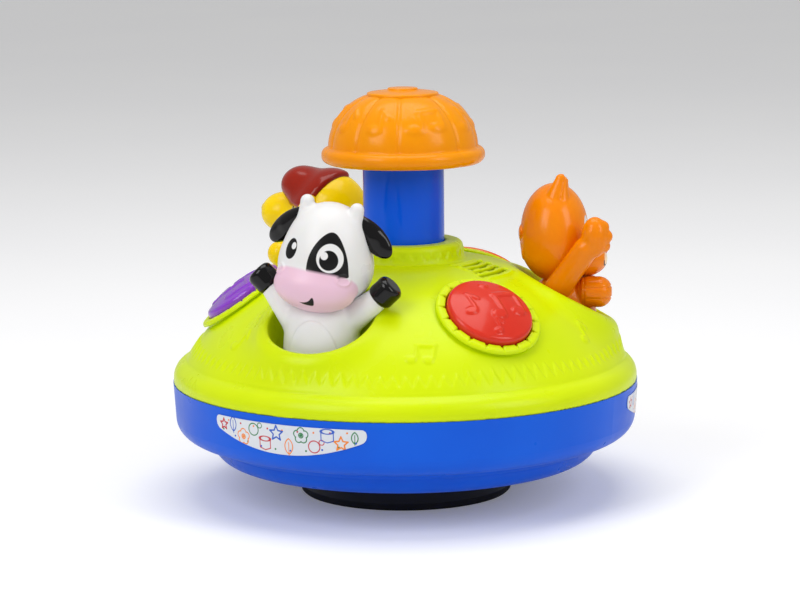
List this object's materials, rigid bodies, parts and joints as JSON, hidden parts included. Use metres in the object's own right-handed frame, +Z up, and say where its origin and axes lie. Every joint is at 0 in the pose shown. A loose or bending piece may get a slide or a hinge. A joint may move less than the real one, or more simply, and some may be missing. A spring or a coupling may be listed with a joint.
{
  "type": "push-down spinner toy",
  "caption": "Push-down spinning toy: round lime dome on a blue shell with animals in cups, push buttons, and an orange cap on a sprung post that drives the spin.",
  "frame": {"origin": "on the floor under the spin axis, at the underside of the stand's foot ring", "axes": "+Z up along the spin axis; -Y towards the cow, the first animal"},
  "size_m": [0.2246, 0.2247, 0.1953],
  "materials": {
    "lime_plastic": "satin moulded, fine glints",
    "shell_blue": "semi-gloss moulded",
    "post_blue": "gloss moulded",
    "cap_orange": "gloss moulded",
    "cat_orange": "gloss moulded",
    "button_red": "translucent gloss moulded",
    "button_orange": "translucent gloss moulded",
    "button_purple": "translucent gloss moulded",
    "animal_white": "gloss moulded with painted patches",
    "animal_black": "gloss paint",
    "pony_yellow": "gloss moulded",
    "mane_brown": "gloss moulded",
    "label_print": "printed film, satin",
    "stand_black": "matt moulded",
    "foot_rubber": "soft matt",
    "inner_plastic": "matt acetal",
    "steel": "zinc plated",
    "board": "coated circuit board",
    "cell_case": "plain sleeve",
    "lamp": "clear lens"
  },
  "bodies": {
    "stand": {"base_housing": "stand_black", "base_foot_ring": "foot_rubber", "thrust_washer": "inner_plastic", "hub_retainer": "steel", "clutch_ring": "inner_plastic", "base_screws": "steel"},
    "spinner": {"lower_shell": "shell_blue", "upper_dome": "lime_plastic", "shell_screws": "steel", "side_labels": "label_print", "bearing_plate": "inner_plastic", "plunger_guide": "inner_plastic", "battery_box": "shell_blue", "battery_door": "shell_blue", "battery_door_screw": "steel", "batteries": "cell_case", "battery_contacts": "steel", "main_circuit_board": "board", "power_switch_body": "stand_black", "speaker": "stand_black", "button_boards": "board", "button_leds": "lamp", "return_spring": "steel", "cow_body": "animal_white", "cow_head": "animal_white", "cow_ears": "animal_black", "cow_hooves": "animal_black", "cat_body": "cat_orange", "cat_head": "cat_orange", "pony_body": "pony_yellow", "pony_head": "pony_yellow", "pony_ears": "pony_yellow", "pony_mane": "mane_brown", "figure_screws": "steel"},
    "plunger": {"plunger_post": "post_blue", "drive_nut": "inner_plastic", "cap_shell": "cap_orange", "cap_top_disc": "cap_orange", "cap_screws": "steel"},
    "spiral": {"drive_screw": "inner_plastic", "clutch_dog": "inner_plastic", "screw_circlip": "steel"},
    "red_key": {"red_button": "button_red"},
    "orange_key": {"orange_button": "button_orange"},
    "purple_key": {"purple_button": "button_purple"},
    "power_knob": {"power_switch_knob": "stand_black"}
  },
  "joints": [
    {"name": "spinner_turn", "type": "hinge", "parent": "stand", "child": "spinner", "pos_m": [0, 0, 0.014], "axis": [0, 0, 1], "continuous": true},
    {"name": "cap_press", "type": "slide", "parent": "spinner", "child": "plunger", "axis": [0, 0, -1], "range_m": [0, 0.028], "stiffness_N_per_m": 140, "springref_m": -0.02, "deforming": ["return_spring"]},
    {"name": "spiral_turn", "type": "hinge", "parent": "spinner", "child": "spiral", "pos_m": [0, 0, 0.04], "axis": [0, 0, 1], "range_deg": [0, 240.5]},
    {"name": "red_press", "type": "slide", "parent": "spinner", "child": "red_key", "axis": [-0.4969, 0.2869, -0.819], "range_m": [0, 0.002], "stiffness_N_per_m": 500, "springref_m": -0.0012},
    {"name": "orange_press", "type": "slide", "parent": "spinner", "child": "orange_key", "axis": [0, -0.5738, -0.819], "range_m": [0, 0.002], "stiffness_N_per_m": 500, "springref_m": -0.0012},
    {"name": "purple_press", "type": "slide", "parent": "spinner", "child": "purple_key", "axis": [0.4969, 0.2869, -0.819], "range_m": [0, 0.002], "stiffness_N_per_m": 500, "springref_m": -0.0012},
    {"name": "power_slide", "type": "slide", "parent": "spinner", "child": "power_knob", "axis": [-1, 0, 0], "range_m": [0, 0.005]}
  ],
  "couplings": [
    {"joint": "spiral_turn", "follows": "cap_press", "rad_per_m": 149.6}
  ]
}
